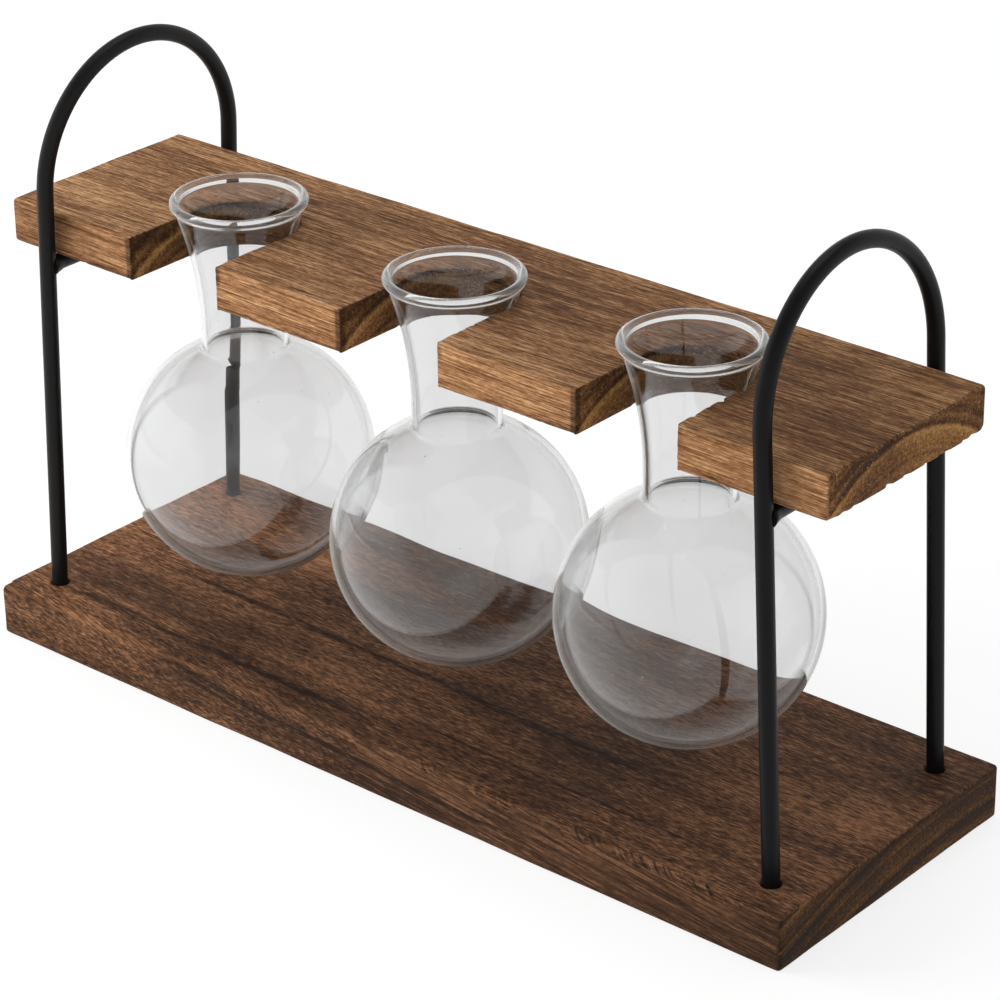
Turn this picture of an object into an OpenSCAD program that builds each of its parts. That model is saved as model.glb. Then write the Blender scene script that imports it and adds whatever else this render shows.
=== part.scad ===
// Bulb forcing stand: three round glass vases hang by their flared necks in open slots of a wooden shelf.
// Two arches of bent steel rod, which lean in a little, carry the shelf over a wooden base.
// The origin is the middle of the base's underside, +X runs along the boards and -Y faces the open slots.

/* [Boards] */
// Length of the base and of the shelf
board_l = 300; // [270:5:360]
// Width of the base, front to back
base_w = 103.5; // [92:0.5:130]
// Thickness of the base
base_t = 16.5; // [15:0.5:26]
// Width of the shelf, front to back
shelf_w = 70.5; // [66:0.5:86]
// Thickness of the shelf
shelf_t = 13.5; // [12:0.5:20]
// Height of the shelf's underside over the table
shelf_z = 126.5; // [115:0.5:150]
// Radius of the boards' upright corners
corner_r = 3; // [1:0.5:6]
// Radius of the boards' other edges
edge_r = 1.6; // [0.4:0.2:4]

/* [Slots] */
// Distance from one slot to the next
slot_pitch = 83.5; // [79:0.5:90]
// How far the row of slots lies to the right of the middle
slot_shift = 1; // [-3:0.5:3]
// How far the round seats lie in front of the shelf's middle line
seat_forward = 7; // [3:0.5:11]
// How much narrower a slot is than its round seat, on each side
slot_step = 0.7; // [0:0.1:0.8]
// Radius of the slots' front corners
mouth_r = 2; // [0.5:0.5:5]
// Gap between a seat's edge and the glass that hangs in it
seat_gap = 0.3; // [0.2:0.05:0.5]

/* [Vases] */
// Diameter of the round bulb
bulb_d = 75.4; // [68:0.2:78]
// Outer diameter of the narrow part of the neck
neck_d = 26.2; // [22:0.2:29]
// Outer diameter across the bead at the mouth
mouth_d = 40.9; // [38:0.1:44]
// Thickness of the round bead at the mouth
bead_d = 2.8; // [2.2:0.1:3.6]
// Thickness of the glass
glass_t = 1.5; // [1:0.1:2]
// Whole height of a vase
vase_h = 120.3; // [116:0.1:130]
// Height of the flared part of the neck, up to the middle of the bead
flare_h = 38; // [32:0.5:42]
// Radius of the crease between neck and bulb
crease_r = 1.6; // [0.5:0.1:4]
// Height of the left vase's bead over the shelf
left_rise = 7; // [5:0.1:10]
// Height of the centre vase's bead over the shelf
centre_rise = 5.1; // [5:0.1:10]
// Height of the right vase's bead over the shelf
right_rise = 8.5; // [5:0.1:10]

/* [Steel rods] */
// Diameter of the bent rods and the crossbars
rod_d = 5; // [4:0.1:6]
// Distance from the base's ends to the middle of the legs, on top of the base
foot_inset = 12.8; // [10:0.1:18]
// Angle by which the arches lean in towards each other
lean = 2.7; // [0:0.1:3.5]
// Gap between the shelf's long edges and the legs
leg_gap = 0.8; // [0.3:0.1:2]
// How far the straight legs reach over the shelf before they bend
leg_rise = 7; // [3:0.5:40]
// Depth of the legs in the base
leg_depth = 9; // [7:0.5:9.5]
// Gap all round a leg in its hole
leg_hole_gap = 0.1; // [0.05:0.05:0.3]
// Length of the weld round a crossbar's end, along the bar
weld_l = 5; // [3:0.1:7]
// Width that the weld adds to the bar, on each side
weld_out = 1; // [0.4:0.1:1.6]

/* [Screws] */
// Diameter of the screws that hold the legs
leg_screw_d = 3; // [2.5:0.1:3]
// Length of the leg screws under their heads
leg_screw_l = 12; // [9:0.5:12]
// Head diameter of the leg screws
leg_head_d = 5.6; // [5:0.1:7]
// Head height of the leg screws
leg_head_h = 2.2; // [1.5:0.1:2.6]
// Diameter of the counterbores under the base
counterbore_d = 7.5; // [7.2:0.1:10]
// Depth of the counterbores under the base
counterbore_h = 3.5; // [2.8:0.1:4]
// Diameter of the wood screws that hold the shelf
shelf_screw_d = 2.5; // [2:0.1:2.8]
// Length of the shelf screws under their heads
shelf_screw_l = 14; // [10:0.5:14.5]
// Head diameter of the shelf screws
shelf_head_d = 4.6; // [4:0.1:5]
// Head height of the shelf screws
shelf_head_h = 1.6; // [1.2:0.1:2.4]
// Distance between the two shelf screws of a crossbar
shelf_screw_span = 40; // [24:1:50]
// Depth of the flats that the shelf screws' heads bear on
spot_h = 0.6; // [0.4:0.1:1]
// Width of the cross in the screw heads
cross_w = 0.8; // [0.5:0.1:1]

/* [Hidden] */
$fn = 96;

// Small gaps between pieces that touch, and the overrun of every cut
bar_gap = 0.1;
weld_gap = 0.03;
weld_drop = 0.5;
// Where the bar and the weld start, from the middle of a leg, as shares of the rod's radius
bar_start_share = 0.7;
weld_start_share = 0.4;
// The weld's tip, as a share of the bar's radius
weld_tip_share = 0.9;
// How far the crease's arc cuts into the neck and the bulb, as a share of its radius
crease_cut_share = 0.1;
screw_gap = 0.05;
screw_hole_gap = 0.2;
tap_spare = 1;
cross_share = 0.6;
cross_depth_share = 0.5;
overrun = 1;

base_colour = [0.27, 0.17, 0.11];
shelf_colour = [0.47, 0.32, 0.2];
steel_colour = [0.08, 0.08, 0.085];
screw_colour = [0.7, 0.7, 0.72];
glass_colour = [0.85, 0.92, 0.9, 0.35];

shelf_top = shelf_z + shelf_t;
seat_y = -seat_forward;
slot_x = [slot_shift - slot_pitch, slot_shift, slot_shift + slot_pitch];
rises = [left_rise, centre_rise, right_rise];

bulb_r = bulb_d/2;
neck_r = neck_d/2;
mouth_out_r = mouth_d/2;
bead_r = bead_d/2;
// From the middle of the bead down to the middle of the bulb
bulb_drop = vase_h - bead_r - bulb_r;
// The flare is one arc that leaves the neck upright and meets the bead
flare_end_r = mouth_out_r - bead_r + glass_t/2;
flare_out = flare_end_r - neck_r;
flare_arc_r = (flare_h*flare_h + flare_out*flare_out)/(2*flare_out);
// Middle of the crease's arc, which meets both the neck and the bulb
crease_reach = crease_r*(1 - crease_cut_share);
crease_x = neck_r + crease_reach;
crease_z = sqrt(pow(bulb_r + crease_reach, 2) - pow(crease_x, 2)) - bulb_drop;

rod_r = rod_d/2;
foot_x = board_l/2 - foot_inset;
leg_y = shelf_w/2 + leg_gap + rod_r;
// Heights along a leg, measured from the foot on top of the base
leg_start = -leg_depth;
arch_rise = shelf_z + shelf_t + leg_rise - base_t;
screw_start = counterbore_h - base_t;
bar_z = shelf_z - bar_gap - rod_r;
bar_x = foot_x - (bar_z - base_t)*tan(lean);
bar_start = rod_r*bar_start_share;
weld_start = rod_r*weld_start_share;
spot_z = bar_z - rod_r + spot_h;

// Outer radius of the glass at a depth under the middle of the bead
function glass_r(depth) = neck_r + flare_arc_r - sqrt(pow(flare_arc_r, 2) - pow(flare_h - depth, 2));
function seat_r(rise) = glass_r(rise) + seat_gap;

// Rectangle about the origin with round corners
module rounded_rect(l, w, r) {
    square([l - 2*r, w], center = true);
    square([l, w - 2*r], center = true);
    for (x = [r - l/2, l/2 - r], y = [r - w/2, w/2 - r])
        translate([x, y]) circle(r = r);
}

// Board with round corners and edges, standing on the height zero
module board(l, w, t) {
    intersection() {
        linear_extrude(height = t) rounded_rect(l, w, corner_r);
        translate([0, w/2, t/2]) rotate([90, 0, 0]) linear_extrude(height = w) rounded_rect(l, t, edge_r);
        translate([-l/2, 0, t/2]) rotate([90, 0, 90]) linear_extrude(height = l) rounded_rect(w, t, edge_r);
    }
}

// Leaning frame of one arch, with the height zero on top of the base
module lean_in(side) {
    translate([side*foot_x, 0, base_t]) rotate([0, -side*lean, 0]) children();
}

// Copies at the two legs of one arch, in its leaning frame
module at_feet() {
    for (y = [-leg_y, leg_y])
        translate([0, y, 0]) children();
}

// Copies at the four legs
module at_legs() {
    for (side = [-1, 1])
        lean_in(side) at_feet() children();
}

// Copies at the two shelf screws of one crossbar
module at_shelf_screws(x) {
    for (y = [-shelf_screw_span/2, shelf_screw_span/2])
        translate([x, y, 0]) children();
}

// Pan head screw that points up, with the underside of its head at the height zero
module screw(d, l, head_d, head_h) {
    difference() {
        translate([0, 0, -head_h]) cylinder(h = head_h, d = head_d);
        for (a = [0, 90])
            rotate([0, 0, a])
                translate([-head_d*cross_share/2, -cross_w/2, -head_h - overrun])
                    cube([head_d*cross_share, cross_w, overrun + head_h*cross_depth_share]);
    }
    cylinder(h = l - d/2, d = d);
    translate([0, 0, l - d/2]) cylinder(h = d/2, d1 = d, d2 = d/2);
}

module base_board() {
    color(base_colour)
        difference() {
            board(board_l, base_w, base_t);
            at_legs() {
                translate([0, 0, leg_start]) cylinder(h = leg_depth + overrun, r = rod_r + leg_hole_gap);
                translate([0, 0, -base_t - overrun]) cylinder(h = base_t, d = leg_screw_d + 2*screw_hole_gap);
                translate([0, 0, -base_t - overrun]) cylinder(h = counterbore_h + overrun, d = counterbore_d);
            }
        }
}

// Keyhole outline about its seat's centre: a round seat with a straight way out to the front
module slot_outline(rise) {
    half_w = seat_r(rise) - slot_step;
    front = seat_forward - shelf_w/2;
    circle(r = seat_r(rise));
    translate([-half_w, front - overrun]) square([2*half_w, overrun - front]);
    for (side = [0, 1])
        mirror([side, 0])
            difference() {
                translate([0, front - overrun]) square([half_w + mouth_r, mouth_r + overrun]);
                translate([half_w + mouth_r, front + mouth_r]) circle(r = mouth_r);
            }
}

module shelf_board() {
    color(shelf_colour)
        difference() {
            translate([0, 0, shelf_z]) board(board_l, shelf_w, shelf_t);
            for (i = [0, 1, 2])
                translate([slot_x[i], seat_y, shelf_z - overrun])
                    linear_extrude(height = shelf_t + 2*overrun) slot_outline(rises[i]);
            for (x = [-bar_x, bar_x])
                at_shelf_screws(x)
                    translate([0, 0, spot_z])
                        cylinder(h = shelf_screw_l + screw_gap, d = shelf_screw_d + 2*screw_gap);
        }
}

// Bent rod: two straight legs with a half ring on top, tapped at both feet
module arch(side) {
    color(steel_colour)
        lean_in(side)
            difference() {
                union() {
                    at_feet() translate([0, 0, leg_start]) cylinder(h = arch_rise - leg_start, r = rod_r);
                    translate([0, 0, arch_rise])
                        rotate([90, 0, 90])
                            rotate_extrude(angle = 180)
                                translate([leg_y, 0]) circle(r = rod_r);
                }
                at_feet()
                    translate([0, 0, leg_start - overrun])
                        cylinder(h = overrun - leg_start + screw_start + leg_screw_l + tap_spare,
                            d = leg_screw_d + 2*screw_gap);
            }
}

// Straight bar welded between the two legs of an arch, just under the shelf
module crossbar(side) {
    x = side*bar_x;
    color(steel_colour)
        difference() {
            union() {
                translate([x, bar_start - leg_y, bar_z])
                    rotate([-90, 0, 0]) cylinder(h = 2*(leg_y - bar_start), r = rod_r);
                for (end = [-1, 1])
                    difference() {
                        translate([x, end*(leg_y - weld_start), bar_z])
                            rotate([end*90, 0, 0])
                                cylinder(h = weld_l, r1 = rod_r + weld_out, r2 = rod_r*weld_tip_share);
                        translate([x - rod_d, -base_w/2, shelf_z - weld_drop]) cube([2*rod_d, base_w, rod_d]);
                    }
            }
            lean_in(side)
                at_feet()
                    translate([0, 0, bar_z - base_t - rod_d]) cylinder(h = 2*rod_d, r = rod_r + weld_gap);
            at_shelf_screws(x) {
                translate([0, 0, bar_z - rod_d]) cylinder(h = 2*rod_d, d = shelf_screw_d + 2*screw_gap);
                translate([0, 0, bar_z - rod_d]) cylinder(h = spot_z - bar_z + rod_d, r = rod_r + overrun);
            }
        }
}

module leg_screws() {
    color(screw_colour)
        at_legs()
            translate([0, 0, screw_start]) screw(leg_screw_d, leg_screw_l, leg_head_d, leg_head_h);
}

module shelf_screws() {
    color(screw_colour)
        for (x = [-bar_x, bar_x])
            at_shelf_screws(x)
                translate([0, 0, spot_z]) screw(shelf_screw_d, shelf_screw_l, shelf_head_d, shelf_head_h);
}

// A vase's body, drawn in by an inset, with the middle of the bead at the height zero
module vase_body(inset) {
    translate([0, 0, -bulb_drop]) {
        sphere(r = bulb_r - inset);
        cylinder(h = bulb_drop - flare_h, r = neck_r - inset);
    }
    rotate_extrude()
        difference() {
            polygon([[0, crease_z], [crease_x, crease_z], [0, -bulb_drop]]);
            translate([crease_x, crease_z]) circle(r = crease_r + inset);
        }
    rotate_extrude()
        difference() {
            translate([0, -flare_h]) square([flare_end_r, flare_h]);
            translate([neck_r + flare_arc_r, -flare_h]) circle(r = flare_arc_r + inset);
        }
}

// Blown glass vase: a round bulb, a waisted neck and a beaded mouth
module vase(i) {
    color(glass_colour)
        translate([slot_x[i], seat_y, shelf_top + rises[i]]) {
            difference() {
                vase_body(0);
                vase_body(glass_t);
            }
            rotate_extrude() translate([mouth_out_r - bead_r, 0]) circle(r = bead_r);
        }
}

module left_arch() { arch(-1); }
module right_arch() { arch(1); }
module left_crossbar() { crossbar(-1); }
module right_crossbar() { crossbar(1); }
module left_vase() { vase(0); }
module centre_vase() { vase(1); }
module right_vase() { vase(2); }

base_board();
shelf_board();
left_arch();
right_arch();
left_crossbar();
right_crossbar();
leg_screws();
shelf_screws();
left_vase();
centre_vase();
right_vase();
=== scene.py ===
"""A bulb forcing stand: three round glass vases that hang in a wooden shelf between two bent steel rods."""

import math

import bmesh
import bpy
from mathutils import Matrix, Vector, noise
from mathutils.geometry import delaunay_2d_cdt
from mathutils.kdtree import KDTree


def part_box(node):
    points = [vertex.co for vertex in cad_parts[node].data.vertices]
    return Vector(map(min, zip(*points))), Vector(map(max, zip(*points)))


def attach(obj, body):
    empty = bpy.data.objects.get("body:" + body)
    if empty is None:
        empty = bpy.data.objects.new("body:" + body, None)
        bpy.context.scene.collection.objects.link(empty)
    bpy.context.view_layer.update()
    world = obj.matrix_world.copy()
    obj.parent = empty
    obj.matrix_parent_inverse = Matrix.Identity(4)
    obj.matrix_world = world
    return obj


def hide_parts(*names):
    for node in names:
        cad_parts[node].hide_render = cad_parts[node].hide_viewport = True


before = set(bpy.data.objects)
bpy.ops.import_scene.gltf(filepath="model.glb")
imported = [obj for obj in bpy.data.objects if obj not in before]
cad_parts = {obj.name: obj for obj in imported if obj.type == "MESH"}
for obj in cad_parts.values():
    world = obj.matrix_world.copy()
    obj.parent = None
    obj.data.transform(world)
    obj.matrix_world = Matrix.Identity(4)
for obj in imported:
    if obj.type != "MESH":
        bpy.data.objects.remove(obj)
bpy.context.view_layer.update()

MM = 0.001

# Camera, as the photograph was taken
CAM_AZIMUTH = math.radians(40.769)
CAM_ELEVATION = math.radians(26.405)
CAM_ROLL = math.radians(-0.786)
CAM_DISTANCE = 1033.97 * MM
CAM_TARGET = Vector((11.425, -1.09, 76.67)) * MM
FOCAL_PIXELS = 3611.5
PICTURE_PIXELS = 1000
SENSOR = 36

# Boards, from the frame
BASE_LO, BASE_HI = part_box("base_board")
SHELF_LO, SHELF_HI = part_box("shelf_board")
CORNER_R = 1.4 * MM
EDGE_R = 1.3 * MM
SEAT_GAP = 0.3 * MM
SLOT_STEP = 0.7 * MM
MOUTH_R = 0.7 * MM

# Glass
BEAD_R = 1.4 * MM
NECK_R = 13.1 * MM
GLASS_T = 1.5 * MM
FLARE_H = 38 * MM
CREASE_R = 1.6 * MM
MOUTH_R_OUT = 20.45 * MM
VASES = ("left_vase", "centre_vase", "right_vase")
VASE_LO, VASE_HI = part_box("left_vase")
BULB_R = (VASE_HI.x - VASE_LO.x) / 2
BULB_DROP = VASE_HI.z - VASE_LO.z - BEAD_R - BULB_R

# Rods
ROD_R = 2.5 * MM
LEAN = math.radians(2.7)
FOOT_INSET = 12.8 * MM
FOOT_X = BASE_HI.x - FOOT_INSET
LEG_GAP = 0.8 * MM
LEG_Y = SHELF_HI.y + LEG_GAP + ROD_R
LEG_DEPTH = 9 * MM
LEG_HOLE_R = ROD_R + 0.1 * MM
SCREW_HOLE_R = 1.7 * MM
COUNTERBORE_R = 3.75 * MM
COUNTERBORE_H = 3.5 * MM


def srgb(r, g, b):
    """Linear colour of an 8 bit sRGB colour."""
    def line(c):
        c /= 255
        return c / 12.92 if c <= 0.04045 else ((c + 0.055) / 1.055) ** 2.4
    return (line(r), line(g), line(b), 1)


def smooth(a, b, v):
    """0 at a and before, 1 at b and past it, smooth between."""
    t = min(1, max(0, (v - a) / (b - a)))
    return t * t * (3 - 2 * t)


def wave(x, y=0.0, z=0.0):
    """Smooth noise from about -1 to 1, the same each run."""
    return noise.noise(Vector((x, y, z)))


# Meshes

def new_object(name, verts, faces, sharp=None):
    """Object from points and faces, smooth shaded, with edges over the angle sharp left hard."""
    mesh = bpy.data.meshes.new(name)
    mesh.from_pydata([tuple(v) for v in verts], [], faces)
    mesh.validate()
    mesh.shade_smooth()
    if sharp is not None:
        mesh.set_sharp_from_angle(angle=math.radians(sharp))
    obj = bpy.data.objects.new(name, mesh)
    bpy.context.scene.collection.objects.link(obj)
    return obj


def bake_modifiers(obj, sharp=None):
    """Applies obj's modifiers to its mesh."""
    graph = bpy.context.evaluated_depsgraph_get()
    mesh = bpy.data.meshes.new_from_object(obj.evaluated_get(graph))
    obj.modifiers.clear()
    obj.data = mesh
    mesh.shade_smooth()
    if sharp is not None:
        mesh.set_sharp_from_angle(angle=math.radians(sharp))


def cut(obj, cutters, sharp=None):
    """Cuts the closed objects cutters out of obj and removes them."""
    for cutter in cutters:
        m = obj.modifiers.new("cut", "BOOLEAN")
        m.operation = "DIFFERENCE"
        m.solver = "EXACT"
        m.object = cutter
    bake_modifiers(obj, sharp)
    for cutter in cutters:
        bpy.data.objects.remove(cutter)


def turned(name, profile, sides, centre=Vector((0, 0, 0)), shape=None):
    """Turns a profile of (radius, height) points about an upright axis. Its ends lie on the axis.

    shape(angle, radius, height) may return a changed (radius, height)."""
    verts, faces, rows = [], [], []
    for r, h in profile:
        if r < 1e-9:
            pole = shape(0.0, r, h)[1] if shape else h
            rows.append([len(verts)] * sides)
            verts.append(centre + Vector((0, 0, pole)))
            continue
        row = []
        for i in range(sides):
            a = 2 * math.pi * i / sides
            rr, hh = shape(a, r, h) if shape else (r, h)
            row.append(len(verts))
            verts.append(centre + Vector((rr * math.cos(a), rr * math.sin(a), hh)))
        rows.append(row)
    for lower, upper in zip(rows, rows[1:]):
        for i in range(sides):
            j = (i + 1) % sides
            face = [lower[i], lower[j], upper[j], upper[i]]
            faces.append(list(dict.fromkeys(face)))
    return new_object(name, verts, faces)


def leaning(side, y):
    """Matrix of the leaning frame of a leg, with its origin at the foot on top of the base."""
    place = Matrix.Translation((side * FOOT_X, y, BASE_HI.z))
    return place @ Matrix.Rotation(-side * LEAN, 4, "Y")


# Boards

def arc(cx, cy, r, a0, a1, step):
    """Points along an arc, without its last one. Angles are in degrees."""
    n = max(2, math.ceil(abs(math.radians(a1 - a0)) * r / step))
    angles = [math.radians(a0 + (a1 - a0) * i / n) for i in range(n)]
    return [Vector((cx + r * math.cos(a), cy + r * math.sin(a))) for a in angles]


def line(p, q, step):
    """Points along a line, without its last one."""
    p, q = Vector(p), Vector(q)
    n = max(1, math.ceil((q - p).length / step))
    return [p.lerp(q, i / n) for i in range(n)]


def outline_of(lo, hi, slots, step):
    """Counterclockwise outline of a board with round corners and keyhole slots in its front edge.

    A slot is (x, y, seat radius, half width).
    Returns (point, tag) pairs with tag 0 outside and 1 in a slot."""
    r = CORNER_R
    out = []
    x = lo.x + r
    for sx, sy, seat, half in slots:
        m = MOUTH_R
        reach = math.degrees(math.acos(half / seat))
        out += [(p, 0) for p in line((x, lo.y), (sx - half - m, lo.y), step)]
        out += [(p, 1) for p in arc(sx - half - m, lo.y + m, m, -90, 0, step * 0.5)]
        low = sy - seat * math.sin(math.radians(reach))
        out += [(p, 1) for p in line((sx - half, lo.y + m), (sx - half, low), step)]
        out += [(p, 1) for p in arc(sx, sy, seat, 180 + reach, -reach, step)]
        out += [(p, 1) for p in line((sx + half, low), (sx + half, lo.y + m), step)]
        out += [(p, 1) for p in arc(sx + half + m, lo.y + m, m, 180, 270, step * 0.5)]
        x = sx + half + m
    out += [(p, 0) for p in line((x, lo.y), (hi.x - r, lo.y), step)]
    corners = (
        (hi.x - r, lo.y + r, -90),
        (hi.x - r, hi.y - r, 0),
        (lo.x + r, hi.y - r, 90),
        (lo.x + r, lo.y + r, 180),
    )
    ends = ((hi.x, hi.y - r), (lo.x + r, hi.y), (lo.x, lo.y + r), None)
    for (cx, cy, a), end in zip(corners, ends):
        out += [(p, 0) for p in arc(cx, cy, r, a, a + 90, step * 0.5)]
        start = (cx + r * math.cos(math.radians(a + 90)), cy + r * math.sin(math.radians(a + 90)))
        if end:
            out += [(p, 0) for p in line(start, end, step)]
    return out


def board_mesh(name, outline, z0, z1, edge, extra, grid, cap_wave):
    """Board from an outline, with rounded edges.

    edge(tag, x, y, top) is the radius of an edge, and extra(tag, x, y, z) how far the side is set back.
    The caps carry points on a grid, and cap_wave(x, y) sinks them a little."""
    n = len(outline)
    points = [p for p, _ in outline]
    tags = [t for _, t in outline]
    normals = []
    for i in range(n):
        d = points[(i + 1) % n] - points[i - 1]
        normals.append(Vector((d.y, -d.x)).normalized())
    arc_steps, side_steps = 5, 14
    levels = [("low", k / arc_steps) for k in range(arc_steps)]
    levels += [("side", k / side_steps) for k in range(side_steps + 1)]
    levels += [("top", k / arc_steps) for k in range(1, arc_steps + 1)]
    verts, faces = [], []
    for kind, t in levels:
        for p, nrm, tag in zip(points, normals, tags):
            low, top = edge(tag, p.x, p.y, False), edge(tag, p.x, p.y, True)
            a = t * math.pi / 2
            if kind == "low":
                z, inset = z0 + low * (1 - math.cos(a)), low * (1 - math.sin(a))
            elif kind == "side":
                z, inset = z0 + low + (z1 - top - z0 - low) * t, 0
            else:
                z, inset = z1 - top * (1 - math.sin(a)), top * (1 - math.cos(a))
            q = p - nrm * (inset + extra(tag, p.x, p.y, z))
            verts.append(Vector((q.x, q.y, z)))
    for k in range(len(levels) - 1):
        for i in range(n):
            j = (i + 1) % n
            faces.append([k * n + i, k * n + j, (k + 1) * n + j, (k + 1) * n + i])
    for first, top in ((0, False), ((len(levels) - 1) * n, True)):
        rim = [verts[first + i].xy for i in range(n)]
        tree = KDTree(n)
        for i, p in enumerate(rim):
            tree.insert((p.x, p.y, 0), i)
        tree.balance()
        inner = []
        nx = int((max(p.x for p in rim) - min(p.x for p in rim)) / grid)
        ny = int((max(p.y for p in rim) - min(p.y for p in rim)) / grid)
        x0, y0 = min(p.x for p in rim), min(p.y for p in rim)
        for i in range(1, nx + 1):
            for j in range(1, ny + 1):
                p = Vector((x0 + i * grid, y0 + (j + 0.5 * (i % 2)) * grid))
                _, near, d = tree.find((p.x, p.y, 0))
                if d > grid * 0.6 and (rim[near] - p).dot(normals[near]) > 0:
                    inner.append(p)
        loop = list(range(n))
        cdt = delaunay_2d_cdt(rim + inner, [], [loop], 1, 1e-7)
        ids = []
        for k, origin in enumerate(cdt[3]):
            if origin and origin[0] < n:
                ids.append(first + origin[0])
            else:
                p = cdt[0][k]
                ids.append(len(verts))
                sink = cap_wave(p.x, p.y)
                verts.append(Vector((p.x, p.y, z1 - sink if top else z0)))
        for f in cdt[2]:
            face = [ids[v] for v in f]
            faces.append(face if top else face[::-1])
    return new_object(name, verts, faces, 32)


def mark(obj, name, value):
    """Stores value(position, normal) for each point of obj's mesh as an attribute."""
    mesh = obj.data
    layer = mesh.attributes.new(name, "FLOAT", "POINT")
    layer.data.foreach_set("value", [value(v.co, v.normal) for v in mesh.vertices])


# Vase outline, with heights measured from the middle of the bead

def flare_radius(depth, inset=0.0):
    """Radius of the glass at a depth under the middle of the bead, down to the straight neck."""
    end = MOUTH_R_OUT - BEAD_R + GLASS_T / 2 - NECK_R
    big = (FLARE_H ** 2 + end ** 2) / (2 * end)
    up = FLARE_H - min(depth, FLARE_H)
    return NECK_R + big - math.sqrt((big + inset) ** 2 - up ** 2)


# Node trees

class Tree:
    """Short names for building a node tree."""

    def __init__(self, holder):
        holder.use_nodes = True
        self.nodes = holder.node_tree.nodes
        self.links = holder.node_tree.links
        self.nodes.clear()

    def add(self, kind, inputs=None, **fields):
        node = self.nodes.new(kind)
        for key, value in fields.items():
            setattr(node, key, value)
        for key, value in (inputs or {}).items():
            self.feed(node.inputs[key], value)
        return node

    def feed(self, socket, value):
        if isinstance(value, bpy.types.NodeSocket):
            self.links.new(value, socket)
        else:
            socket.default_value = value

    def math(self, operation, a, b=0.0, clamp=False):
        node = self.add("ShaderNodeMath", {0: a, 1: b}, operation=operation, use_clamp=clamp)
        return node.outputs[0]

    def add_up(self, *terms):
        total = terms[0]
        for t in terms[1:]:
            total = self.math("ADD", total, t)
        return total

    def band(self, value, a, b, low=0.0, high=1.0):
        """Smooth step from low at a to high at b."""
        node = self.add("ShaderNodeMapRange", {0: value, 1: a, 2: b, 3: low, 4: high})
        node.interpolation_type = "SMOOTHSTEP"
        return node.outputs[0]

    def vector(self, x, y, z):
        return self.add("ShaderNodeCombineXYZ", {0: x, 1: y, 2: z}).outputs[0]

    def noise(self, vector, detail=2.0, rough=0.5, scale=1.0, distortion=0.0):
        node = self.add("ShaderNodeTexNoise", {"Vector": vector, "Scale": scale, "Detail": detail,
                                               "Roughness": rough, "Distortion": distortion})
        return node.outputs[0]

    def mix(self, factor, a, b, blend="MIX"):
        node = self.add("ShaderNodeMix", data_type="RGBA", blend_type=blend)
        self.feed(node.inputs[0], factor)
        self.feed(node.inputs[6], a)
        self.feed(node.inputs[7], b)
        return node.outputs[2]

    def ramp(self, value, stops):
        node = self.add("ShaderNodeValToRGB", {0: value})
        elements = node.color_ramp.elements
        while len(elements) < len(stops):
            elements.new(0.5)
        for element, (place, colour) in zip(elements, stops):
            element.position = place
            element.color = colour
        return node.outputs[0]

    def bump(self, height, distance, strength=1.0, normal=None):
        node = self.add("ShaderNodeBump", {"Height": height, "Distance": distance, "Strength": strength})
        if normal is not None:
            self.feed(node.inputs["Normal"], normal)
        return node.outputs[0]


def material(name):
    made = bpy.data.materials.new(name)
    tree = Tree(made)
    shader = tree.add("ShaderNodeBsdfPrincipled")
    out = tree.add("ShaderNodeOutputMaterial")
    tree.links.new(shader.outputs[0], out.inputs[0])
    return made, tree, shader


def dress(obj, made):
    obj.data.materials.clear()
    obj.data.materials.append(made)


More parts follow.
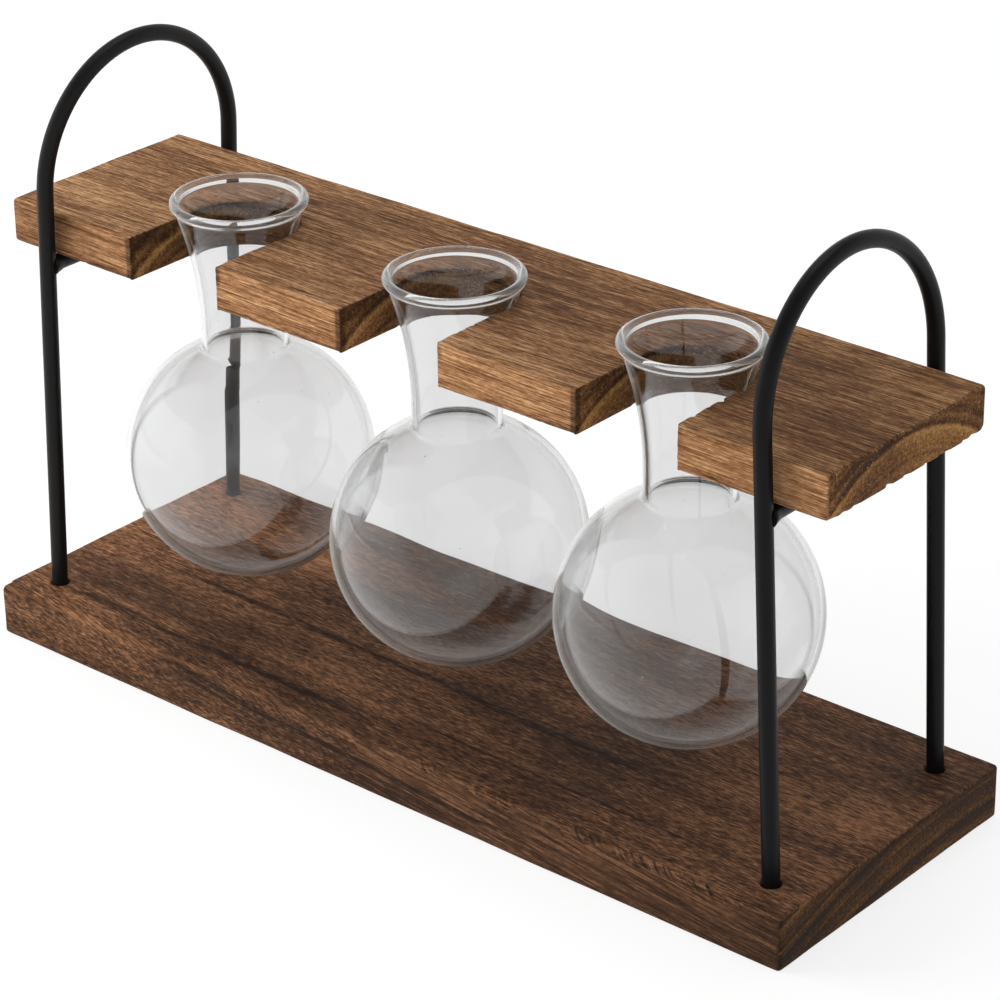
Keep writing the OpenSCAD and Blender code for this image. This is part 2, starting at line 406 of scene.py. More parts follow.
def wood(name, look):
    """Solid wood whose rings lie about a pith line along X, with fibres, pores, stain, burn marks, and
    painted light and shade.
    """
    made, t, shader = material(name)
    coords = t.add("ShaderNodeTexCoord")
    x, y, z = t.add("ShaderNodeSeparateXYZ", {0: coords.outputs["Object"]}).outputs[:3]
    nx, ny, nz = t.add("ShaderNodeSeparateXYZ", {0: coords.outputs["Normal"]}).outputs[:3]
    seed = look["seed"]

    def field(along, across, detail, rough, shift, yy=None, zz=None, flat=False):
        """Noise from 0 to 1 with its own number of features per metre along and across the board."""
        zs = 0.0 if flat else t.math("MULTIPLY", zz or z, across)
        v = t.vector(t.math("MULTIPLY", x, along), t.math("MULTIPLY", yy or y, across), zs)
        shift = (seed + shift, seed * 1.7, shift * 2.3)
        v = t.add("ShaderNodeVectorMath", {0: v, 1: shift}, operation="ADD").outputs[0]
        return t.noise(v, detail, rough)

    def centred(value, amount):
        return t.math("MULTIPLY", t.math("SUBTRACT", value, 0.5), amount)

    # The grain dives through the board, and swings out to the front edge
    front = t.band(y, look["swing_to"], look["swing_from"], 1, 0)
    swing = t.math("MULTIPLY", t.math("MULTIPLY", t.math("MINIMUM", x, 0.0), front), look["swing"])
    yw = t.add_up(y, swing, centred(field(4.5, 9, 1, 0.5, 0.0), look["sway"]))
    rise = centred(field(6, 11, 1, 0.5, 4.1), look["sway"] * 0.6)
    zw = t.add_up(z, t.math("MULTIPLY", x, look["dive"]), rise)
    dy = t.math("SUBTRACT", yw, look["pith_y"])
    dz = t.math("SUBTRACT", t.math("SUBTRACT", zw, t.math("MULTIPLY", x, look["dive"])), look["pith_z"])
    radius = t.math("SQRT", t.math("ADD", t.math("MULTIPLY", dy, dy), t.math("MULTIPLY", dz, dz)))

    rings = field(1.8, look["rings"], 3, 0.6, 1.3, yy=radius, flat=True)
    patch = field(9, 42, 3, 0.55, 9.7, yw, zw)
    fibre = field(look["along"] * 0.35, 420, 2, 0.6, 5.2, yw, zw)
    threads = field(look["along"], 1450, 3, 0.7, 6.6, yw, zw)
    hairs = field(look["along"] * 2, 3000, 1, 0.5, 8.8, yw, zw)
    dashes = field(look["along"] * 1.8, 1700, 1, 0.5, 12.4, yw, zw)
    flecks = field(look["along"] * 3.0, 2100, 1, 0.5, 31.7, yw, zw)
    grit = field(420, 1500, 2, 0.7, 27.3)

    parts = zip((rings, patch, fibre, threads, hairs, grit), look["amounts"])
    on_top = t.band(nz, 0.4, 0.8)
    spread = t.add_up(*(centred(v, a) for v, a in parts))
    contrast = t.band(nz, 0.4, 0.8, look["side_contrast"], 1.0)
    tone = t.add_up(look["middle"], t.math("MULTIPLY", spread, contrast))
    side = t.ramp(tone, look["side"])

    # Cut ends show the rings, speckled
    fine = t.vector(t.math("MULTIPLY", x, 300), t.math("MULTIPLY", y, 900), t.math("MULTIPLY", z, 900))
    speckle = t.noise(fine, 3, 0.7)
    zone = look["zone"]
    past = t.band(radius, zone - 0.0006, zone + 0.0004)
    lip_rise = t.band(radius, zone - 0.004, zone - 0.0016)
    lip = t.math("MULTIPLY", lip_rise, t.band(radius, zone - 0.0008, zone, 1, 0))
    end_tone = t.add_up(
        look["end_middle"],
        centred(rings, look["end_rings"]),
        centred(speckle, look["speckle"]),
        centred(patch, 0.7),
        t.math("MULTIPLY", past, look["zone_step"]),
        t.math("MULTIPLY", lip, look["zone_lip"]),
    )
    end = t.band(t.math("ABSOLUTE", nx), 0.45, 0.85)
    colour = t.mix(end, side, t.ramp(end_tone, look["end"]))

    # The dark line between the zones, broken up
    off = t.math("ABSOLUTE", t.math("SUBTRACT", radius, zone))
    gaps = t.band(field(45, 300, 3, 0.7, 15.0), 0.45, 0.6)
    seam = t.math("MULTIPLY", t.band(off, 0.0, 0.0008, 1, 0), gaps)
    colour = t.mix(t.math("MULTIPLY", seam, look["seam"]), colour, look["dark"])

    # Dark open pores and pale torn fibres
    uneven = t.band(patch, 0.35, 0.6, 0.45, 1.0)
    pore = t.math("MULTIPLY", t.band(dashes, 0.6, 0.7), uneven)
    pale = t.math("MULTIPLY", t.band(flecks, 0.62, 0.72), t.band(fibre, 0.4, 0.6))
    colour = t.mix(t.math("MULTIPLY", pore, look["pores"]), colour, look["dark"])
    colour = t.mix(t.math("MULTIPLY", pale, look["flecks"]), colour, look["light"])

    # Ridges, where a hard ring comes out of the top or the front
    wobble = centred(field(28, 0, 2, 0.6, 37.0), 2.4 * MM)
    on_side = t.math("SUBTRACT", 1.0, on_top)
    ridges = 0.0
    for face, across, lines in ((on_top, y, look["top_ridges"]), (on_side, z, look["side_ridges"])):
        for start, first, stop, last, width in lines:
            slope = (last - first) / (stop - start)
            off = t.add_up(across, t.math("MULTIPLY", x, -slope), slope * start - first, wobble)
            strip = t.band(t.math("ABSOLUTE", off), width * 0.3, width, 1, 0)
            ends = t.math("MULTIPLY", t.band(x, start, start + 0.012), t.band(x, stop - 0.02, stop, 1, 0))
            ridges = t.math("ADD", ridges, t.math("MULTIPLY", t.math("MULTIPLY", strip, ends), face))
    broken = t.math("MULTIPLY", ridges, t.band(field(120, 700, 3, 0.7, 41.0), 0.3, 0.55))
    colour = t.mix(t.math("MULTIPLY", broken, 0.9, True), colour, look["dark"])

    # Slanting nicks in the top front edge
    start, stop = look["nicks"]
    if stop > start:
        near_front = t.band(y, BASE_LO.y + 3.2 * MM, BASE_LO.y + 1.0 * MM)
        near_edge = t.math("MULTIPLY", near_front, t.band(z, BASE_HI.z - 3 * MM, BASE_HI.z - 1 * MM))
        run = t.math("MULTIPLY", t.band(x, start, start + 0.03), t.band(x, stop - 0.01, stop, 1, 0))
        slant = t.math("MULTIPLY", t.add_up(x, t.math("MULTIPLY", z, 0.9), t.math("MULTIPLY", y, 0.9)), 620)
        strokes = t.band(t.noise(t.vector(slant, 3.0, 0.0), 1, 0.5), 0.5, 0.6)
        clumps = t.band(field(45, 0, 1, 0.5, 51.0), 0.38, 0.55)
        nicks = t.math("MULTIPLY", t.math("MULTIPLY", near_edge, run), t.math("MULTIPLY", strokes, clumps))
        colour = t.mix(t.math("MULTIPLY", nicks, 0.85), colour, look["burnt_and_shade"])

    # The stain is uneven along the board. The top and the sides also get factors of their own, which are
    # painted light: the shelf's front is made lighter than its top, the left end of the base's top lighter,
    # and the base's front darker towards its right end.
    stains_and_lights = []
    for left, middle, right in (look["top_stain_and_light"], look["side_stain_and_light"]):
        half = t.mix(t.band(x, -0.15, -0.03), left, middle)
        stains_and_lights.append(t.mix(t.band(x, 0.03, 0.14), half, right))
    stain_and_light = t.mix(on_top, stains_and_lights[1], stains_and_lights[0])
    colour = t.mix(1.0, colour, stain_and_light, "MULTIPLY")

    # Burn marks, and the painted shade round the rods' feet, darken the wood.
    scorch_and_shade = t.add("ShaderNodeAttribute", attribute_name="scorch_and_shade").outputs["Fac"]
    rough_scorch_and_shade = t.math("ADD", scorch_and_shade, centred(field(90, 500, 2, 0.6, 18.0), 0.5))
    burnt_and_shade = t.math("MULTIPLY", t.band(rough_scorch_and_shade, 0.25, 0.95), 0.92)
    colour = t.mix(burnt_and_shade, colour, look["burnt_and_shade"])
    wear = t.add("ShaderNodeAttribute", attribute_name="wear").outputs["Fac"]
    worn = t.math("MULTIPLY", wear, t.band(field(120, 900, 2, 0.6, 21.0), 0.4, 0.65))
    colour = t.mix(t.math("MULTIPLY", worn, 0.45), colour, look["worn"])

    relief = t.add_up(
        t.math("MULTIPLY", fibre, 0.4),
        t.math("MULTIPLY", threads, 0.6),
        t.math("MULTIPLY", hairs, 0.5),
        t.math("MULTIPLY", grit, 0.4),
        t.math("MULTIPLY", pore, -0.5),
        t.math("MULTIPLY", broken, 0.7),
    )
    height = t.math("MULTIPLY", relief, t.band(end, 0, 1, 1, 0.3))
    rough = t.add_up(look["rough"], centred(threads, 0.25), centred(patch, 0.15))
    t.feed(shader.inputs["Base Color"], colour)
    t.feed(shader.inputs["Roughness"], rough)
    t.feed(shader.inputs["Normal"], t.bump(height, 0.4 * MM, look["bump"]))
    shader.inputs["Specular IOR Level"].default_value = look["gloss"]
    return made


# Looks. "amounts" weighs rings, patches, fibres, threads, hairs and grit.
# A ridge is (start x, first, stop x, last, width). A stain-and-light factor is (left end, middle, right
# end), partly uneven stain and partly painted light.
BASE_LOOK = {
    "seed": 3.1, "sway": 7 * MM, "swing": 0.15, "swing_from": -0.012, "swing_to": -0.045, "dive": 0.11,
    "pith_y": 33 * MM, "pith_z": -228 * MM, "rings": 330, "zone": 0.2405, "seam": 0.0, "along": 34,
    "middle": 0.5, "amounts": (0.3, 1.0, 0.6, 0.85, 1.4, 0.8), "side_contrast": 0.95, "nicks": (0.0, 0.149),
    "side": ((0.1, srgb(42, 26, 17)), (0.36, srgb(72, 48, 33)),
             (0.55, srgb(94, 65, 46)), (0.92, srgb(150, 108, 78))),
    "end_middle": 0.46, "end_rings": 1.9, "zone_step": 0.0, "zone_lip": 0.0, "speckle": 1.1,
    "end": ((0.15, srgb(34, 21, 11)), (0.42, srgb(60, 38, 20)),
            (0.62, srgb(98, 65, 34)), (0.9, srgb(150, 106, 58))),
    "pores": 0.7, "flecks": 0.5, "dark": srgb(32, 20, 13), "light": srgb(166, 124, 90),
    "top_ridges": ((-0.135, -0.0386, 0.0, -0.0417, 0.0023), (-0.11, -0.0094, 0.085, -0.015, 0.002),
                   (0.0, -0.034, 0.12, -0.036, 0.0008)),
    "side_ridges": ((-0.092, 0.0168, -0.022, 0.0092, 0.0017), (-0.08, 0.0135, -0.035, 0.007, 0.0012),
                    (-0.035, 0.0105, 0.07, 0.0055, 0.0012)),
    # "burnt_and_shade" is the colour of burn marks and of the painted shade round the rods' feet.
    "burnt_and_shade": srgb(24, 16, 12), "worn": srgb(140, 104, 76),
    "top_stain_and_light": ((2.1, 2.02, 1.92, 1), (1.08, 1.05, 1.03, 1), (1.13, 1.1, 1.07, 1)),
    # Painted light: the base's front darkens towards its right end.
    "side_stain_and_light": ((1.3, 1.27, 1.2, 1), (1.0, 0.97, 0.94, 1), (0.7, 0.67, 0.63, 1)),
    "rough": 0.7, "gloss": 0.14, "bump": 0.9,
}

SHELF_LOOK = {
    "seed": 7.7, "sway": 4 * MM, "swing": 0.0, "swing_from": 0.0, "swing_to": -0.03, "dive": 0.022,
    "pith_y": -2.2 * MM, "pith_z": 80.7 * MM, "rings": 420, "zone": 0.058, "seam": 0.85, "along": 31,
    "middle": 0.5, "amounts": (0.3, 0.85, 0.5, 0.75, 1.3, 0.85), "side_contrast": 0.72, "nicks": (0.0, 0.0),
    "side": ((0.1, srgb(74, 45, 27)), (0.36, srgb(110, 75, 48)),
             (0.56, srgb(144, 104, 71)), (0.92, srgb(206, 164, 120))),
    "end_middle": 0.56, "end_rings": 0.9, "zone_step": -0.14, "zone_lip": 0.2, "speckle": 0.9,
    "end": ((0.15, srgb(46, 28, 16)), (0.38, srgb(82, 53, 31)),
            (0.62, srgb(130, 90, 52)), (0.9, srgb(180, 138, 82))),
    "pores": 0.6, "flecks": 0.6, "dark": srgb(58, 35, 21), "light": srgb(216, 176, 132),
    "top_ridges": (), "side_ridges": (), "burnt_and_shade": srgb(34, 22, 14), "worn": srgb(190, 150, 110),
    "top_stain_and_light": ((1.18, 1.15, 1.13, 1), (0.97, 0.94, 0.92, 1), (0.82, 0.78, 0.73, 1)),
    # Painted light: the shelf's front is made lighter than its top.
    "side_stain_and_light": ((0.96, 0.93, 0.92, 1), (1.28, 1.24, 1.2, 1), (1.18, 1.14, 1.1, 1)),
    "rough": 0.7, "gloss": 0.12, "bump": 0.8,
}


def glass_material():
    """Clear glass, a little grey, with a few specks of dust. Where it is seen edge on, and on the bead, a
    pale diffuse colour is painted in as edge light.
    """
    made, t, shader = material("clear_glass")
    coords = t.add("ShaderNodeTexCoord").outputs["Object"]
    cells = t.add("ShaderNodeTexVoronoi", {"Vector": coords, "Scale": 170.0}, feature="F1")
    chosen = t.band(t.add("ShaderNodeSeparateColor", {0: cells.outputs["Color"]}).outputs[0], 0.9, 0.91)
    dust = t.math("MULTIPLY", t.band(cells.outputs["Distance"], 0.025, 0.045, 1, 0), chosen)
    # Painted light: the edge-on glass and the bead lose some transmission to a pale diffuse colour,
    # standing in for the light the glass edges catch.
    facing = t.add("ShaderNodeLayerWeight", {0: 0.5}).outputs["Facing"]
    edge = t.band(facing, 0.62, 0.95, 0.0, 0.62)
    bead = t.add("ShaderNodeAttribute", attribute_name="bead").outputs["Fac"]
    bead_light = t.math("MULTIPLY", bead, t.band(facing, 0.3, 0.8, 0.04, 0.4))
    dust_and_edge_light = t.math("MAXIMUM", t.math("MAXIMUM", edge, bead_light), t.math("MULTIPLY", dust, 0.7))
    tone = t.mix(t.math("MAXIMUM", edge, bead_light), (0.86, 0.855, 0.86, 1), (0.92, 0.95, 0.88, 1))
    t.feed(shader.inputs["Base Color"], tone)
    t.feed(shader.inputs["Transmission Weight"], t.math("SUBTRACT", 1.0, dust_and_edge_light))
    shader.inputs["Roughness"].default_value = 0.0
    shader.inputs["IOR"].default_value = 1.47
    ripple = t.noise(coords, 1, 0.5, 40)
    t.feed(shader.inputs["Normal"], t.bump(ripple, 0.2 * MM, 0.2))
    out = [n for n in t.nodes if n.type == "OUTPUT_MATERIAL"][0]
    absorb = t.add("ShaderNodeVolumeAbsorption", {0: (0.7, 0.9, 0.8, 1), 1: 18.0})
    t.links.new(absorb.outputs[0], out.inputs["Volume"])
    return made


def rod_material():
    """Satin black powder coat with a fine orange peel. The left rod's coat is painted lighter, as painted
    light from the left.
    """
    made, t, shader = material("black_rod")
    coords = t.add("ShaderNodeTexCoord").outputs["Object"]
    peel = t.noise(coords, 2, 0.5, 1500)
    cloud = t.noise(coords, 2, 0.5, 60)
    x = t.add("ShaderNodeSeparateXYZ", {0: coords}).outputs[0]
    coat = t.ramp(cloud, ((0.3, srgb(11, 11, 11)), (0.7, srgb(17, 17, 18))))
    # Painted light: the left rod is mixed halfway to a lighter grey, as if the light falls on it more.
    coat = t.mix(t.band(x, -0.1, 0.1, 0.5, 0.0), coat, srgb(36, 34, 33))
    t.feed(shader.inputs["Base Color"], coat)
    t.feed(shader.inputs["Roughness"], t.band(cloud, 0.3, 0.7, 0.33, 0.43))
    t.feed(shader.inputs["Normal"], t.bump(peel, 0.05 * MM, 0.35))
    shader.inputs["Specular IOR Level"].default_value = 0.13
    return made


def screw_material():
    """Zinc plated steel, lightly scratched."""
    made, t, shader = material("screw_steel")
    coords = t.add("ShaderNodeTexCoord").outputs["Object"]
    cloud = t.noise(coords, 3, 0.6, 900)
    zinc = t.ramp(cloud, ((0.3, srgb(170, 170, 168)), (0.7, srgb(205, 205, 200))))
    t.feed(shader.inputs["Base Color"], zinc)
    t.feed(shader.inputs["Roughness"], t.band(cloud, 0.3, 0.7, 0.25, 0.45))
    t.feed(shader.inputs["Normal"], t.bump(cloud, 0.03 * MM, 0.4))
    shader.inputs["Metallic"].default_value = 1.0
    return made


# Pieces

def base_piece():
    def chip_at(x, y, z):
        """0 to 1 in the slanting nicks of the front edge's right half."""
        on_front = smooth(BASE_LO.y + 4 * MM, BASE_LO.y + 1.5 * MM, y)
        near_top = smooth(BASE_HI.z - 4 * MM, BASE_HI.z - 1 * MM, z)
        along = smooth(-0.01, 0.03, x) * smooth(0.146, 0.135, x)
        slant = x * 360 + (z - BASE_HI.z) * 300 + y * 300
        return smooth(0.05, 0.4, wave(slant, 7.7)) * on_front * near_top * along

    def edge(tag, x, y, top):
        r = EDGE_R * (0.9 if top else 0.7)
        if top and y < BASE_LO.y + 4 * MM:
            r *= 1 + 0.8 * smooth(0.0, -0.1, x)
        return r * (1 + 0.35 * wave(x * 40, y * 40, 3.3 if top else 9.1))

    def extra(tag, x, y, z):
        soft = 0.08 * MM * (0.5 + 0.5 * wave(x * 25, y * 25, z * 60))
        ragged = 0.2 * MM * (0.5 + 0.5 * wave(y * 95, x * 40, z * 90)) * smooth(0.146, 0.1495, abs(x))
        return soft + ragged + 0.5 * MM * chip_at(x, y, z)

    def cap(x, y):
        return 0.12 * MM * (0.5 + 0.5 * wave(x * 30, y * 160))

    outline = outline_of(BASE_LO, BASE_HI, [], 0.8 * MM)
    obj = board_mesh("base_wood", outline, BASE_LO.z, BASE_HI.z, edge, extra, 2.4 * MM, cap)
    cutters = []
    for side in (-1, 1):
        for y in (-LEG_Y, LEG_Y):
            flare = 0.35 * MM
            hole = [
                (0, -LEG_DEPTH),
                (LEG_HOLE_R, -LEG_DEPTH),
                (LEG_HOLE_R, -2 * flare),
                (LEG_HOLE_R + 2 * flare, 0.3 * flare),
                (LEG_HOLE_R + 2 * flare, 4 * MM),
                (0, 4 * MM),
            ]
            deep = -(BASE_HI.z - BASE_LO.z)
            below = [
                (0, deep - 2 * MM),
                (COUNTERBORE_R, deep - 2 * MM),
                (COUNTERBORE_R, deep + COUNTERBORE_H),
                (SCREW_HOLE_R, deep + COUNTERBORE_H),
                (SCREW_HOLE_R, -LEG_DEPTH + 1 * MM),
                (0, -LEG_DEPTH + 1 * MM),
            ]
            for number, profile in enumerate((hole, below)):
                cutter = turned(f"cutter_{number}", profile, 48)
                cutter.data.transform(leaning(side, y))
                cutters.append(cutter)
    cut(obj, cutters, 32)

    def scorch_and_shade(p, n):
        edge_dark = 0.5 * smooth(0.35, 0.7, max(abs(n.y), abs(n.x))) * smooth(0.25, 0.6, n.z)
        hole_d = math.hypot(abs(p.x) - FOOT_X, abs(p.y) - LEG_Y)
        # Painted shade: a dark ring round each rod's foot stands in for the shade where the rod goes into
        # the base.
        foot = smooth(3.3 * MM, 2.7 * MM, hole_d) * 0.8
        return max(edge_dark * (0.5 + 0.5 * wave(p.x * 30, p.y * 30, 2)), foot, chip_at(*p) * 0.5)

    def wear(p, n):
        return smooth(0.2, 0.5, max(abs(n.y), abs(n.x))) * smooth(0.2, 0.5, n.z)

    mark(obj, "scorch_and_shade", scorch_and_shade)
    mark(obj, "wear", wear)
    return obj


def shelf_piece():
    slots = []
    for vase in VASES:
        lo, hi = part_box(vase)
        rise = hi.z - BEAD_R - SHELF_HI.z
        seat = flare_radius(rise) + SEAT_GAP
        slots.append(((lo.x + hi.x) / 2, (lo.y + hi.y) / 2, seat, seat - SLOT_STEP))

    def edge(tag, x, y, top):
        r = EDGE_R * (0.85 if top else 0.75) if tag == 0 else 0.45 * MM
        return r * (1 + 0.4 * wave(x * 60, y * 60, 1.3 if top else 6.1))

    def extra(tag, x, y, z):
        near_top = smooth(SHELF_HI.z - 2.4 * MM, SHELF_HI.z - 0.2 * MM, z)
        near_low = smooth(SHELF_LO.z + 2.2 * MM, SHELF_LO.z + 0.2 * MM, z)
        if tag:
            near = [sx for sx, _, _, _ in slots if abs(x - sx) < 30 * MM]
            right_wall = max(smooth(2 * MM, 8 * MM, x - sx) for sx in near)
            torn = (0.4 + 0.3 * right_wall + 0.9 * right_wall * smooth(60 * MM, 80 * MM, x)) * MM
            tooth = max(0, wave(x * 380, y * 430, 2.2)) * torn
            # The upright corner right of each slot is ragged
            inward = y - SHELF_LO.y
            corner = right_wall * smooth(6 * MM, 1 * MM, inward) * smooth(0, 0.35 * MM, inward)
            splinter = max(0, 0.25 + wave(z * 900, x * 60, 8.1)) * 0.9 * MM * corner
            return max(tooth * near_top + 0.5 * tooth * near_low, splinter)
        soft = 0.08 * MM * (0.5 + 0.5 * wave(x * 30, y * 30, z * 70))
        soft += 0.15 * MM * (0.5 + 0.5 * wave(y * 95, x * 40, z * 90)) * smooth(0.146, 0.1495, abs(x))
        end = smooth(SHELF_HI.x - 2 * MM, SHELF_HI.x, x)
        chip = max(0, wave(y * 260, x * 40, 5.5) + 0.05) * 1.5 * MM * near_low * end
        front = smooth(SHELF_LO.y + 1 * MM, SHELF_LO.y, y)
        nick = max(0, wave(x * 330, 3.9) - 0.2) * 0.9 * MM * near_low * front
        return soft + chip + nick

    def cap(x, y):
        return 0.12 * MM * (0.5 + 0.5 * wave(x * 30, y * 200, 4))

    outline = outline_of(SHELF_LO, SHELF_HI, slots, 0.5 * MM)
    obj = board_mesh("shelf_wood", outline, SHELF_LO.z, SHELF_HI.z, edge, extra, 2.2 * MM, cap)

    def slot_near(p):
        """Distance from the nearest slot's wall, and whether that is its right wall."""
        return min((math.hypot(p.x - sx, max(0, p.y - sy)) - seat, p.x > sx) for sx, sy, seat, _ in slots)

    def scorch_and_shade(p, n):
        near, right_wall = slot_near(p)
        wall = smooth(0.5, 0.8, math.hypot(n.x, n.y)) * smooth(2.5 * MM, 0.8 * MM, near)
        deep = (SHELF_HI.z - p.z) / (SHELF_HI.z - SHELF_LO.z)
        seat_back = smooth(-22 * MM, -8 * MM, p.y)
        dark_to = 0.4 - 0.2 * seat_back + 0.2 * wave(p.x * 60, p.y * 90, 1)
        front = 0 if right_wall else smooth(-31 * MM, -34.5 * MM, p.y)
        upper = smooth(dark_to + 0.16, dark_to - 0.1, deep) * (0.66 - 0.3 * seat_back)
        upper *= 1 - 0.3 * smooth(-50 * MM, 90 * MM, p.x)
        back = 0.25 * seat_back * smooth(0.1, 0.5, wave(p.x * 90, p.y * 20, 5))
        return wall * max(upper, back, front * 0.7)

    def wear(p, n):
        return smooth(0.2, 0.5, max(abs(n.y), abs(n.x))) * smooth(0.2, 0.5, n.z) * 0.8

    mark(obj, "scorch_and_shade", scorch_and_shade)
    mark(obj, "wear", wear)
    return obj


def vase_profile():
    """Closed outline of the glass as (radius, height) points, heights from the middle of the bead."""
    drop = BULB_DROP

    def wall(inset, flip):
        r = BULB_R - inset
        cx = NECK_R + CREASE_R
        cz = math.sqrt((BULB_R + CREASE_R) ** 2 - cx ** 2) - drop
        cr = CREASE_R + inset
        # Where the bulb meets the crease's arc
        d = math.hypot(cx, cz + drop)
        along = (r * r - cr * cr + d * d) / (2 * d)
        off = math.sqrt(max(0, r * r - along * along))
        ux, uz = cx / d, (cz + drop) / d
        meet = (ux * along - uz * off, uz * along + ux * off)
        top_angle = math.atan2(meet[1], meet[0])
        pts = []
        steps = 150
        for i in range(steps):
            a = -math.pi / 2 + (top_angle + math.pi / 2) * i / steps
            pts.append((max(0.0, r * math.cos(a)), r * math.sin(a) - drop))
        a0 = math.atan2(meet[1] - drop - cz, meet[0] - cx) % (2 * math.pi)
        nr = NECK_R - inset
        a1 = math.pi - math.asin(min(1, math.sqrt(max(0, cr ** 2 - (cx - nr) ** 2)) / cr))
        for i in range(14):
            a = a0 + (a1 - a0) * i / 14
            pts.append((cx + cr * math.cos(a), cz + cr * math.sin(a)))
        start = pts[-1][1]
        for i in range(1, 12):
            pts.append((nr, start + (-FLARE_H - start) * i / 12))
        for i in range(46):
            depth = FLARE_H + (1.25 * MM - FLARE_H) * i / 45
            pts.append((flare_radius(depth, inset), -depth))
        return pts[::-1] if flip else pts

    outer, inner = wall(0, False), wall(GLASS_T, True)
    outer[0] = (0.0, outer[0][1])
    inner[-1] = (0.0, inner[-1][1])
    middle = MOUTH_R_OUT - BEAD_R
    start = math.atan2(outer[-1][1], outer[-1][0] - middle)
    stop = math.atan2(inner[0][1], inner[0][0] - middle)
    if stop < start:
        stop += 2 * math.pi
    bead = []
    for i in range(1, 30):
        a = start + (stop - start) * i / 30
        bead.append((middle + BEAD_R * math.cos(a), BEAD_R * math.sin(a)))
    pts = outer + bead + inner
    first, last = len(outer) - 5, len(outer) + len(bead) + 5
    for _ in range(4):
        old = list(pts)
        for i in list(range(first, first + 9)) + list(range(last - 9, last)):
            pts[i] = tuple((old[i - 1][k] + 2 * old[i][k] + old[i + 1][k]) / 4 for k in (0, 1))
    return pts, drop


def vase_piece(name, number):
    lo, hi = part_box(name)
    centre = Vector(((lo.x + hi.x) / 2, (lo.y + hi.y) / 2, hi.z - BEAD_R))
    profile, drop = vase_profile()
    def shape(a, r, h):
        """Blown glass is never quite round, and its wall varies."""
        c, s = math.cos(a), math.sin(a)
        push = 0.06 * MM * wave(c * 1.1 + number * 5, s * 1.1, h * 28)
        from_middle = math.hypot(r, h + drop)
        if from_middle < BULB_R - GLASS_T * 0.5 and h < -drop + 30 * MM:
            push += 0.16 * MM * wave(c * 1.6 + number * 9, s * 1.6, h * 40)
        return r + push * min(1, r / (6 * MM)), h

    obj = turned(name + "_glass", profile, 160, centre, shape)
    mark(obj, "bead", lambda p, n: smooth(-2.2 * MM, -0.8 * MM, p.z - centre.z))
    return obj


def crossbar_piece(side_name):
    """The crossbar with its welds, smooth shaded."""
    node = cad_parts[side_name + "_crossbar"]
    mesh = node.data.copy()
    obj = bpy.data.objects.new(side_name + "_weld_bar", mesh)
    bpy.context.scene.collection.objects.link(obj)
    bm = bmesh.new()
    bm.from_mesh(mesh)
    bmesh.ops.remove_doubles(bm, verts=bm.verts, dist=1e-6)
    bm.to_mesh(mesh)
    bm.free()
    mesh.shade_smooth()
    mesh.set_sharp_from_angle(angle=math.radians(40))
    return obj


dark_wood = wood("dark_wood", BASE_LOOK)
brown_wood = wood("brown_wood", SHELF_LOOK)
clear_glass = glass_material()
black_rod = rod_material()
screw_steel = screw_material()

base = base_piece()
dress(base, dark_wood)
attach(base, "stand")
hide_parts("base_board")

shelf = shelf_piece()
dress(shelf, brown_wood)
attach(shelf, "stand")
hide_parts("shelf_board")

for number, vase in enumerate(VASES):
    glass = vase_piece(vase, number)
    dress(glass, clear_glass)
    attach(glass, vase)
    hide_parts(vase)

for side_name in ("left", "right"):
    bar = crossbar_piece(side_name)
    dress(bar, black_rod)
    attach(bar, "stand")
    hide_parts(side_name + "_crossbar")
    dress(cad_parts[side_name + "_arch"], black_rod)
for node in ("leg_screws", "shelf_screws"):
    dress(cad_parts[node], screw_steel)


# Stage

# Way to the window that lights the object, low on the left
WINDOW_WAY = Vector((-0.8, -0.53, 0.33)).normalized()


def make_camera():
    a, e, r = CAM_AZIMUTH, CAM_ELEVATION, CAM_ROLL
    back = Vector((math.sin(a) * math.cos(e), -math.cos(a) * math.cos(e), math.sin(e)))
    right = Vector((math.cos(a), math.sin(a), 0))
    up = right.cross(-back)
    right, up = math.cos(r) * right + math.sin(r) * up, -math.sin(r) * right + math.cos(r) * up
    data = bpy.data.cameras.new("camera")
    data.sensor_width = SENSOR
    data.lens = FOCAL_PIXELS / PICTURE_PIXELS * SENSOR
    data.clip_start, data.clip_end = 0.01, 100
    camera = bpy.data.objects.new("camera", data)
    camera.matrix_world = Matrix((
        (right.x, up.x, back.x, 0), (right.y, up.y, back.y, 0), (right.z, up.z, back.z, 0), (0, 0, 0, 1)))
    camera.location = CAM_TARGET + back * CAM_DISTANCE
    bpy.context.scene.collection.objects.link(camera)
    bpy.context.scene.camera = camera


def seen(t):
    """1 for the rays that show the background: camera, mirror and glass rays."""
    path = t.add("ShaderNodeLightPath").outputs
    direct = t.math("MAXIMUM", path["Is Camera Ray"], path["Is Glossy Ray"])
    return t.math("MAXIMUM", direct, path["Is Transmission Ray"])


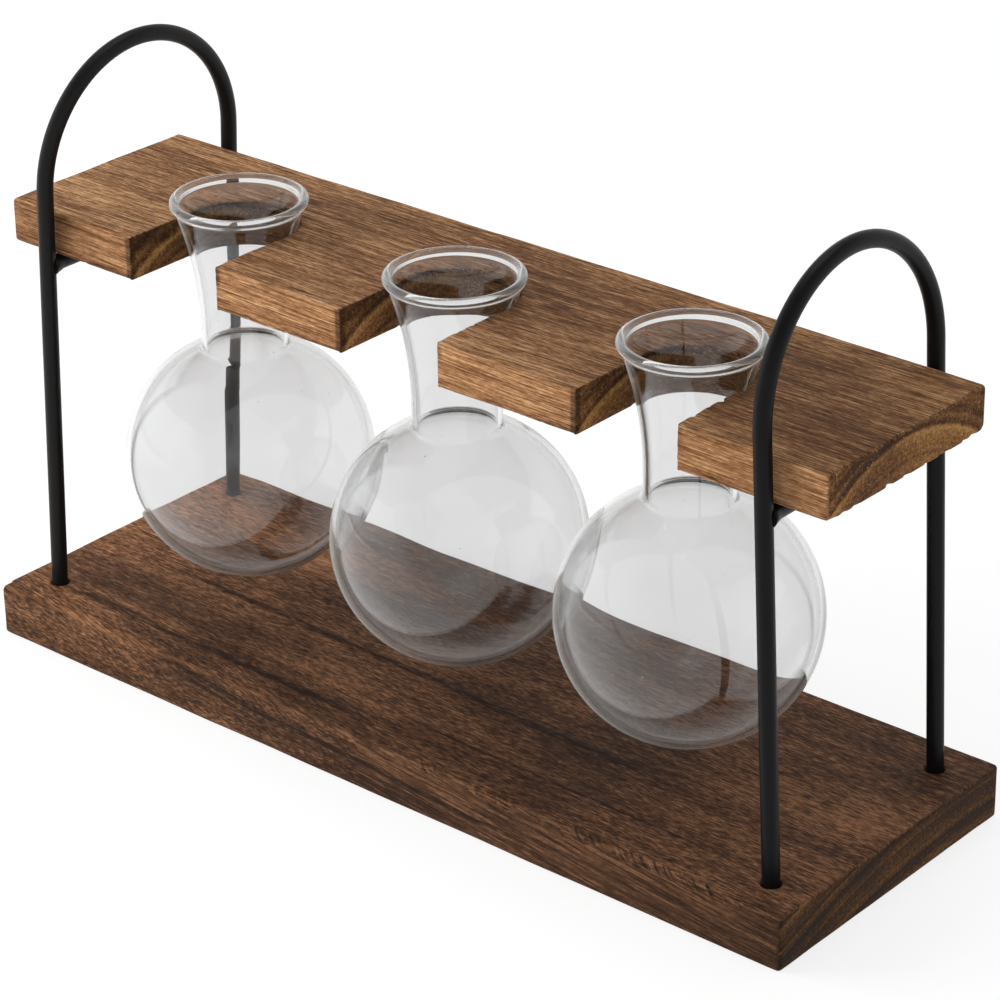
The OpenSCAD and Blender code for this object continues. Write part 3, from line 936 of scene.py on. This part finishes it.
def make_world():
    """White round the horizon and a grey ceiling over it. Matt surfaces get an even light."""
    world = bpy.data.worlds.new("studio")
    bpy.context.scene.world = world
    t = Tree(world)
    up = t.add("ShaderNodeSeparateXYZ", {0: t.add("ShaderNodeTexCoord").outputs["Generated"]}).outputs[2]
    shown = t.band(up, 0.25, 0.75, 1.0, 0.45)
    even = 0.52
    way = t.add("ShaderNodeTexCoord").outputs["Generated"]
    window = t.add("ShaderNodeVectorMath", {0: way, 1: WINDOW_WAY}, operation="DOT_PRODUCT")
    shown = t.math("ADD", shown, t.band(window.outputs["Value"], 0.72, 0.96, 0.0, 0.4))
    strength = t.math("ADD", even, t.math("MULTIPLY", seen(t), t.math("SUBTRACT", shown, even)))
    back = t.add("ShaderNodeBackground", {0: (1, 1, 1, 1), 1: strength})
    out = t.add("ShaderNodeOutputWorld")
    t.links.new(back.outputs[0], out.inputs[0])


def make_floor():
    radius, sides = 8.0, 64
    ring = []
    for i in range(sides):
        a = 2 * math.pi * i / sides
        ring.append((radius * math.cos(a), radius * math.sin(a), 0))
    floor = new_object("floor", ring, [list(range(sides))])
    made = bpy.data.materials.new("floor")
    t = Tree(made)
    plain = t.add("ShaderNodeBsdfDiffuse", {0: (0.8, 0.8, 0.8, 1)})
    pale = t.add("ShaderNodeBsdfDiffuse", {0: (0.32, 0.32, 0.32, 1)})
    glow = t.add("ShaderNodeEmission", {0: (1, 1, 1, 1), 1: 0.76})
    both = t.add("ShaderNodeAddShader", {0: pale.outputs[0], 1: glow.outputs[0]})
    mixed = t.add("ShaderNodeMixShader", {0: seen(t), 1: plain.outputs[0], 2: both.outputs[0]})
    out = t.add("ShaderNodeOutputMaterial")
    t.links.new(mixed.outputs[0], out.inputs[0])
    dress(floor, made)


def soft_box(name, place, size_x, size_y, radiance, mirrored=False):
    """Rectangular lamp that looks at the object. The glass would show it as a hard white patch."""
    data = bpy.data.lights.new(name, "AREA")
    data.shape = "RECTANGLE"
    data.size, data.size_y = size_x, size_y
    data.energy = radiance * math.pi * size_x * size_y
    lamp = bpy.data.objects.new(name, data)
    aim = Vector((0, 0, 0.08)) - Vector(place)
    lamp.matrix_world = Matrix.Translation(place) @ aim.to_track_quat("-Z", "Y").to_matrix().to_4x4()
    lamp.visible_glossy = mirrored
    lamp.visible_transmission = False
    bpy.context.scene.collection.objects.link(lamp)


make_camera()
make_world()
make_floor()
soft_box("key", WINDOW_WAY * 1.2, 0.75, 0.6, 8.5)
soft_box("fill", (0.5, -1.3, 1.1), 0.7, 0.5, 1.6)
soft_box("top", (-0.2, 0.4, 1.5), 0.9, 0.5, 2.6, True)

bpy.context.scene.view_settings.view_transform = "Standard"
